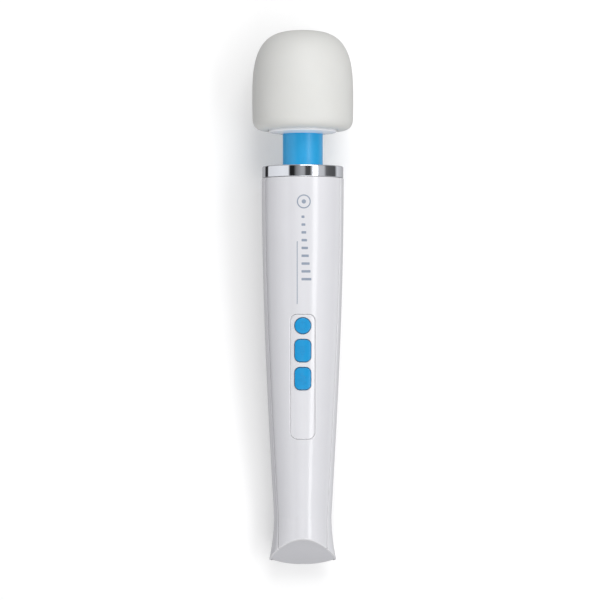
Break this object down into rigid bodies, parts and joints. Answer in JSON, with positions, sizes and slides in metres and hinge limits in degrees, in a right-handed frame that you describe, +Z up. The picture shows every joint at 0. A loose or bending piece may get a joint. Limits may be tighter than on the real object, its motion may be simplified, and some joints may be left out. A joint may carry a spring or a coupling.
{
  "type": "handheld wand massager",
  "caption": "Cordless wand massager: soft domed head on a flexible neck, chrome trim ring, slim tapering handle with an inset panel of three buttons and a charging inlet in the slanted tail.",
  "frame": {"origin": "centre of the bounding box's bottom: the massager lies on its back on z = 0, midway along its length", "axes": "+Y along the length towards the head, +Z up out of the button side, +X to the right seen from above"},
  "size_m": [0.062, 0.33, 0.062],
  "materials": {
    "shell_gloss": "gloss",
    "panel_gloss": "gloss",
    "silicone": "matte",
    "neck_rubber": "satin",
    "key_blue": "gloss",
    "chrome_trim": "polished",
    "tail_plastic": "satin",
    "plug_rubber": "matte",
    "steel": "satin",
    "brass": "satin",
    "core_plastic": "satin",
    "dark_plastic": "matte",
    "dark_rubber": "matte",
    "copper": "satin",
    "magnet": "matte",
    "circuit_board": "satin",
    "cell_wrap": "satin",
    "lead_red": "satin",
    "lead_black": "satin"
  },
  "bodies": {
    "handle": {"motor_can": "steel", "motor_magnets": "magnet", "motor_front_bush": "brass", "motor_rear_bush": "brass", "motor_end_bell": "dark_plastic", "motor_brushes": "magnet", "motor_terminals": "brass", "motor_mount": "dark_plastic", "motor_screws": "steel", "motor_cushion": "dark_rubber", "trim_ring": "chrome_trim", "top_cap": "shell_gloss", "neck_clamp": "dark_plastic", "clamp_screws": "steel", "front_shell": "shell_gloss", "back_shell": "shell_gloss", "shell_screws": "steel", "screw_plugs": "plug_rubber", "tail_cap": "tail_plastic", "jack_body": "dark_plastic", "jack_pin": "steel", "control_panel": "panel_gloss", "main_board": "circuit_board", "switch_bodies": "dark_plastic", "board_parts": "dark_plastic", "board_screws": "steel", "upper_cell": "cell_wrap", "lower_cell": "cell_wrap", "cell_tabs": "steel", "battery_cradle": "dark_plastic", "motor_leads": "lead_red", "battery_leads": "lead_red", "jack_leads": "lead_black"},
    "power_key": {"power_button": "key_blue", "power_plunger": "core_plastic"},
    "level_key": {"level_button": "key_blue", "level_plunger": "core_plastic"},
    "pattern_key": {"pattern_button": "key_blue", "pattern_plunger": "core_plastic"},
    "rotor": {"motor_shaft": "steel", "armature_core": "steel", "armature_windings": "copper", "commutator": "copper", "drive_spring": "steel"},
    "neck": {"neck_sleeve": "neck_rubber"},
    "head": {"head_cap": "silicone", "core_shell": "core_plastic", "bearing_plate": "dark_plastic", "head_collar": "shell_gloss", "core_screws": "steel", "lower_bearing_race": "steel", "upper_bearing_race": "steel"},
    "weight": {"weight_shaft": "steel", "eccentric_weight": "brass", "weight_grub_screws": "steel", "lower_bearing_bush": "steel", "upper_bearing_bush": "steel"},
    "ball_sets": {"lower_bearing_balls": "steel", "upper_bearing_balls": "steel"}
  },
  "joints": [
    {"name": "power_press", "type": "slide", "parent": "handle", "child": "power_key", "axis": [0, 0.1188, -0.9929], "range_m": [0, 0.0006], "stiffness_N_per_m": 900, "springref_m": -0.0009},
    {"name": "level_press", "type": "slide", "parent": "handle", "child": "level_key", "axis": [0, 0.1188, -0.9929], "range_m": [0, 0.0006], "stiffness_N_per_m": 900, "springref_m": -0.0009},
    {"name": "pattern_press", "type": "slide", "parent": "handle", "child": "pattern_key", "axis": [0, 0.1188, -0.9929], "range_m": [0, 0.0006], "stiffness_N_per_m": 900, "springref_m": -0.0009},
    {"name": "motor_spin", "type": "hinge", "parent": "handle", "child": "rotor", "pos_m": [0, 0.045, 0.031], "axis": [0, 1, 0], "continuous": true},
    {"name": "neck_nod", "type": "hinge", "parent": "handle", "child": "neck", "pos_m": [0, 0.08705, 0.031], "axis": [1, 0, 0], "range_deg": [-12, 12], "stiffness_Nm_per_rad": 6, "deforming": ["neck_sleeve", "drive_spring"]},
    {"name": "neck_sway", "type": "hinge", "parent": "neck", "child": "head", "pos_m": [0, 0.09755, 0.031], "axis": [0, 0, 1], "range_deg": [-12, 12], "stiffness_Nm_per_rad": 6, "deforming": ["neck_sleeve", "drive_spring"]},
    {"name": "weight_spin", "type": "hinge", "parent": "head", "child": "weight", "pos_m": [0, 0.122, 0.031], "axis": [0, 1, 0], "continuous": true},
    {"name": "bearing_roll", "type": "hinge", "parent": "head", "child": "ball_sets", "pos_m": [0, 0.122, 0.031], "axis": [0, 1, 0], "continuous": true}
  ],
  "couplings": [
    {"joint": "weight_spin", "follows": "motor_spin", "ratio": 1},
    {"joint": "bearing_roll", "follows": "motor_spin", "ratio": 0.3522}
  ]
}
